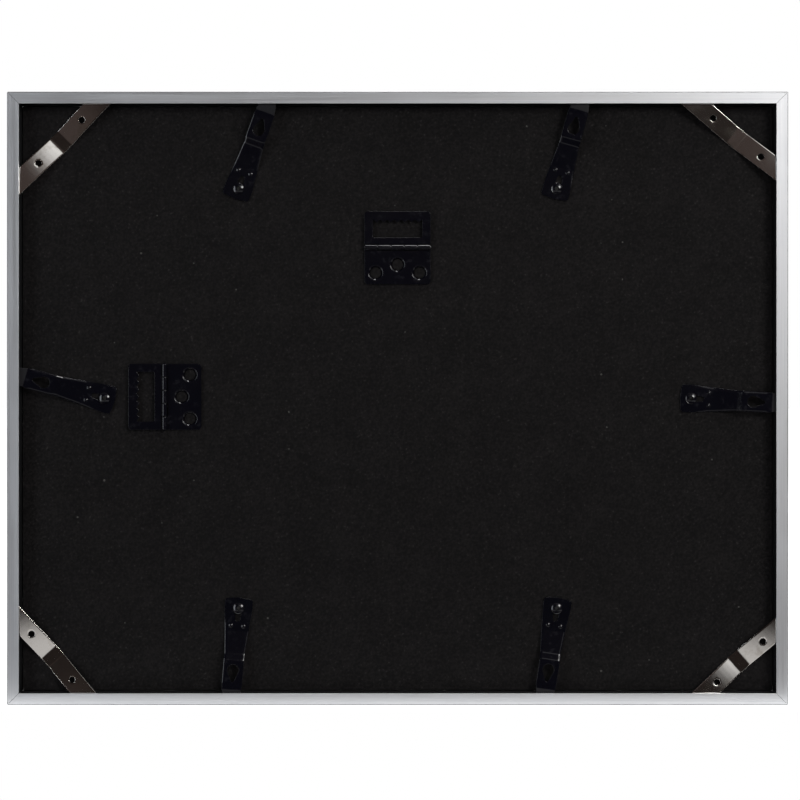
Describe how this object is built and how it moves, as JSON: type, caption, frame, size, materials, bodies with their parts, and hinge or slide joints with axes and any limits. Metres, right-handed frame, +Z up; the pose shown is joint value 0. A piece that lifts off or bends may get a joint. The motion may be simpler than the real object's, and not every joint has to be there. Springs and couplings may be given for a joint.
{
  "type": "collage picture frame",
  "caption": "Aluminium collage picture frame: mitred hollow rails hold glass, a windowed mat, prints and a black board, with turn clips, corner springs and hinged toothed hangers.",
  "frame": {"origin": "centre of the frame's box, half way through its depth", "axes": "+X along the long rails, to the right as the back is seen; +Y from the back towards the glass; +Z up as it hangs by the top hanger"},
  "size_m": [0.4732, 0.017, 0.3714],
  "materials": {
    "rail_aluminium": "satin anodised, brushed along the rail",
    "key_steel": "plain zinc-plated pressing",
    "clear_glass": "clear float glass",
    "mat_board": "matt white mat board with bevelled windows",
    "print_paper": null,
    "black_board": "thin fibreboard faced in matt black",
    "clip_steel": "glossy black spring steel",
    "eyelet_steel": "glossy black rolled eyelet",
    "hanger_steel": "glossy black pressed steel",
    "spring_nickel": "bright nickel-plated spring steel"
  },
  "bodies": {
    "frame": {"rail_top": "rail_aluminium", "rail_bottom": "rail_aluminium", "rail_left": "rail_aluminium", "rail_right": "rail_aluminium", "corner_key_top_left": "key_steel", "corner_key_top_right": "key_steel", "corner_key_bottom_left": "key_steel", "corner_key_bottom_right": "key_steel", "glass": "clear_glass", "collage_mat": "mat_board", "print_left_upper": "print_paper", "print_left_lower": "print_paper", "print_middle_upper": "print_paper", "print_middle_lower": "print_paper", "print_right_upper": "print_paper", "print_right_lower": "print_paper", "backing_board": "black_board", "clip_eyelet_top_left": "eyelet_steel", "clip_eyelet_top_right": "eyelet_steel", "clip_eyelet_left": "eyelet_steel", "clip_eyelet_right": "eyelet_steel", "clip_eyelet_bottom_left": "eyelet_steel", "clip_eyelet_bottom_right": "eyelet_steel", "top_hanger_base": "hanger_steel", "top_hanger_pin": "hanger_steel", "side_hanger_base": "hanger_steel", "side_hanger_pin": "hanger_steel", "corner_spring_top_left": "spring_nickel", "corner_spring_top_right": "spring_nickel", "corner_spring_bottom_left": "spring_nickel", "corner_spring_bottom_right": "spring_nickel"},
    "clip_top_left": {"turn_clip_top_left": "clip_steel"},
    "clip_top_right": {"turn_clip_top_right": "clip_steel"},
    "clip_left": {"turn_clip_left": "clip_steel"},
    "clip_right": {"turn_clip_right": "clip_steel"},
    "clip_bottom_left": {"turn_clip_bottom_left": "clip_steel"},
    "clip_bottom_right": {"turn_clip_bottom_right": "clip_steel"},
    "top_flap": {"top_hanger_flap": "hanger_steel"},
    "side_flap": {"side_hanger_flap": "hanger_steel"}
  },
  "joints": [
    {"name": "clip_top_left_turn", "type": "hinge", "parent": "frame", "child": "clip_top_left", "pos_m": [-0.097, -0.00052, 0.128], "axis": [0, -1, 0], "continuous": true},
    {"name": "clip_top_right_turn", "type": "hinge", "parent": "frame", "child": "clip_top_right", "pos_m": [0.097, -0.00052, 0.128], "axis": [0, -1, 0], "continuous": true},
    {"name": "clip_left_turn", "type": "hinge", "parent": "frame", "child": "clip_left", "pos_m": [-0.1788, -0.00052, 0], "axis": [0, -1, 0], "range_deg": [-90, 120]},
    {"name": "clip_right_turn", "type": "hinge", "parent": "frame", "child": "clip_right", "pos_m": [0.1788, -0.00052, 0], "axis": [0, -1, 0], "continuous": true},
    {"name": "clip_bottom_left_turn", "type": "hinge", "parent": "frame", "child": "clip_bottom_left", "pos_m": [-0.097, -0.00052, -0.128], "axis": [0, -1, 0], "continuous": true},
    {"name": "clip_bottom_right_turn", "type": "hinge", "parent": "frame", "child": "clip_bottom_right", "pos_m": [0.097, -0.00052, -0.128], "axis": [0, -1, 0], "continuous": true},
    {"name": "top_flap_swing", "type": "hinge", "parent": "frame", "child": "top_flap", "pos_m": [0, -0.00243, 0.092], "axis": [1, 0, 0], "range_deg": [0, 180]},
    {"name": "side_flap_swing", "type": "hinge", "parent": "frame", "child": "side_flap", "pos_m": [-0.142, -0.00243, 0.001], "axis": [0, 0, 1], "range_deg": [0, 180]}
  ]
}
